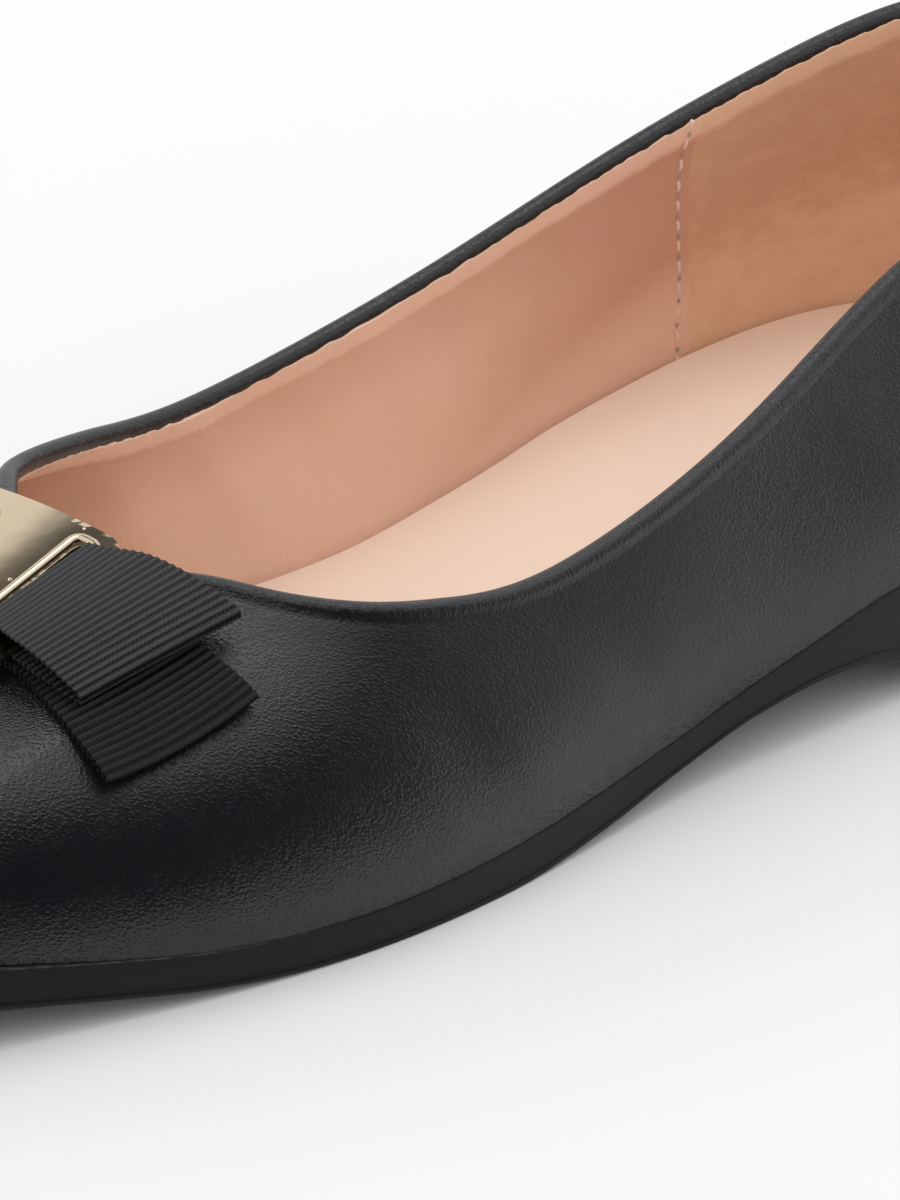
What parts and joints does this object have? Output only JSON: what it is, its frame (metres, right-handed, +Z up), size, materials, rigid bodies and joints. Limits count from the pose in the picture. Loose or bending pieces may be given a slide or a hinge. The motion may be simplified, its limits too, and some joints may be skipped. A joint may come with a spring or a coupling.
{
  "type": "ballet flat",
  "caption": "Black leather ballet flat with a flat ribbon bow held by a slotted metal plate, a low wedge heel, a beige lining and a hollow, open upper.",
  "frame": {"origin": "on the floor, under the middle of the shoe's outline", "axes": "+Z up from the floor, the toe points to -Y and the heel to +Y, +X is the outer side of this left shoe"},
  "size_m": [0.0832, 0.249, 0.0629],
  "materials": {
    "black_leather": "smooth, fine grain",
    "black_rubber": "matte",
    "beige_sock": "matte",
    "black_grosgrain": "ribbed",
    "champagne_metal": "polished"
  },
  "bodies": {
    "root": {"upper": "black_leather", "sole": "black_rubber", "insole": "beige_sock", "bow_lower_ribbon": "black_grosgrain", "bow_upper_ribbon": "black_grosgrain", "bow_plate": "champagne_metal"}
  },
  "joints": []
}
